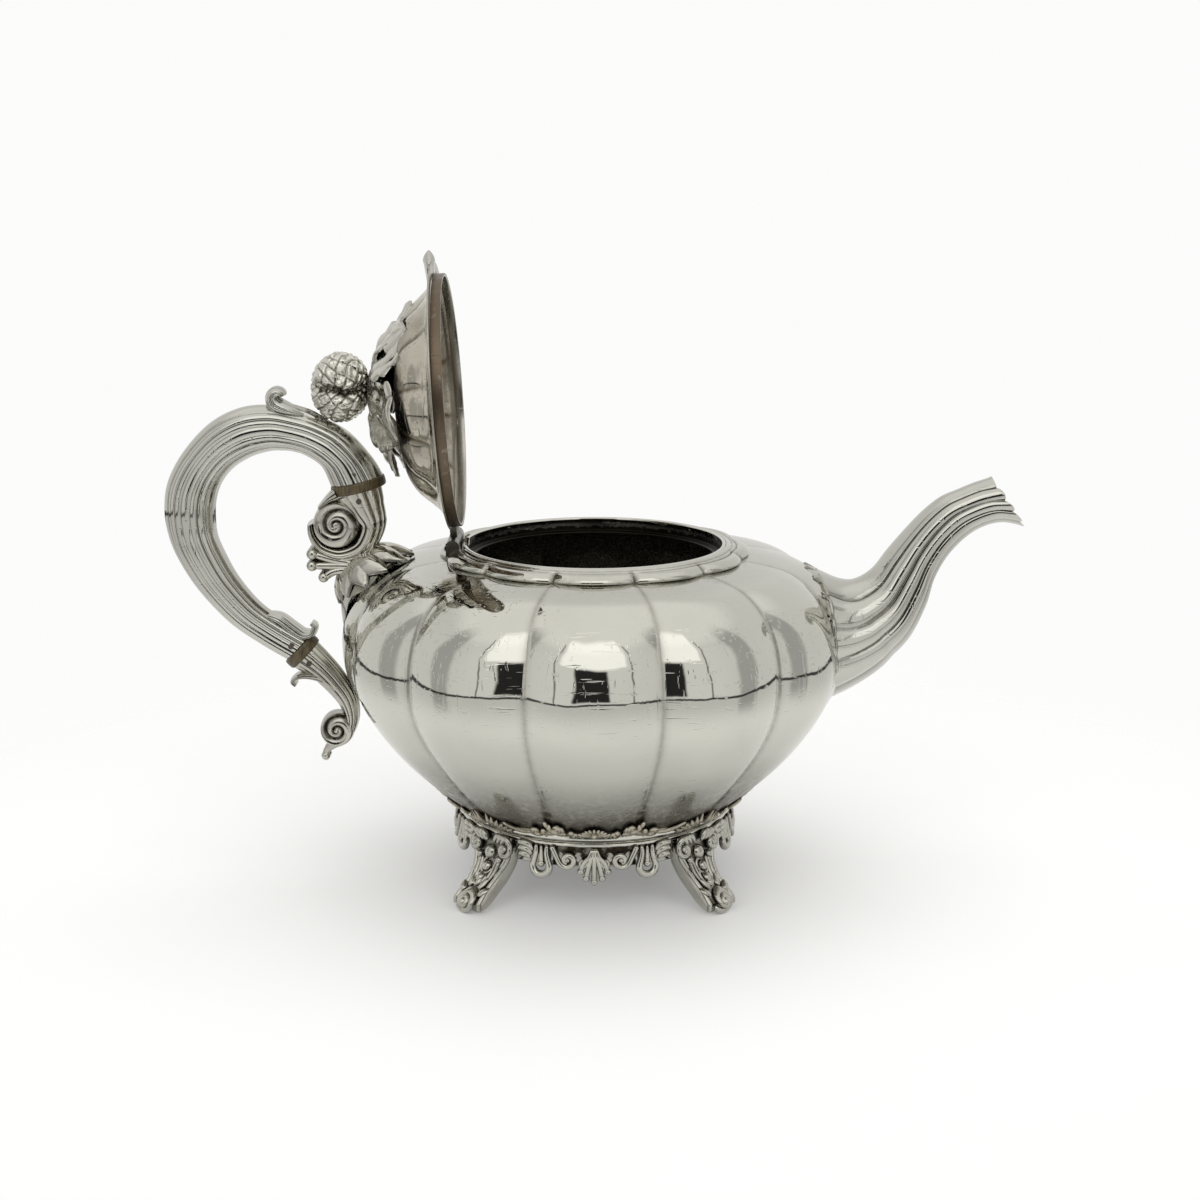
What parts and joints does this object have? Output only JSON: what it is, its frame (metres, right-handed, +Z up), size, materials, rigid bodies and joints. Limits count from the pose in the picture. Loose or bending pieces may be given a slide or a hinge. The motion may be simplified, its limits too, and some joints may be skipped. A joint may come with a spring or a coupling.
{
  "type": "silver teapot",
  "caption": "Squat melon-shaped silver teapot on a cast scroll-footed stand, with a fluted spout, an insulated scroll handle and a domed hinged lid with a flower-bud finial, standing open.",
  "frame": {"origin": "centre of the pot, on the surface it stands on", "axes": "+X towards the spout, +Z up, the handle on -X; the lid's hinge line runs along Y"},
  "size_m": [0.276, 0.164, 0.2031],
  "materials": {
    "polished_silver": "polished silver with fine scratches and light tarnish",
    "cast_silver": "cast and chased silver, dark in its hollows",
    "lid_band_silver": "tarnished silver edge, tan to brown",
    "bone": "ochre grained bone"
  },
  "bodies": {
    "pot": {"body_shell": "polished_silver", "mouth_collar": "polished_silver", "mouth_bezel": "polished_silver", "strainer_cup": "cast_silver", "spout": "polished_silver", "spout_border": "cast_silver", "stand_skirt": "polished_silver", "stand_border": "cast_silver", "front_left_foot": "cast_silver", "front_right_foot": "cast_silver", "back_left_foot": "cast_silver", "back_right_foot": "cast_silver", "front_apron": "cast_silver", "back_apron": "cast_silver", "spout_side_apron": "cast_silver", "handle_side_apron": "cast_silver", "upper_socket": "cast_silver", "upper_leaf_mount": "cast_silver", "lower_socket": "cast_silver", "upper_insulator": "bone", "lower_insulator": "bone", "handle_loop": "polished_silver", "thumb_leaf": "polished_silver", "upper_insulator_pins": "cast_silver", "lower_insulator_pins": "cast_silver", "body_hinge_knuckles": "cast_silver", "hinge_pin": "cast_silver"},
    "lid": {"lid_shell": "polished_silver", "lid_bezel": "lid_band_silver", "lid_tab": "polished_silver", "lid_hinge_knuckle": "cast_silver", "finial_leaves": "cast_silver", "finial_bud": "cast_silver", "finial_stud": "cast_silver", "finial_nut": "cast_silver"}
  },
  "joints": [
    {"name": "lid_hinge", "type": "hinge", "parent": "pot", "child": "lid", "pos_m": [-0.045, 0, 0.1115], "axis": [0, 1, 0], "range_deg": [0, 93.5]}
  ]
}
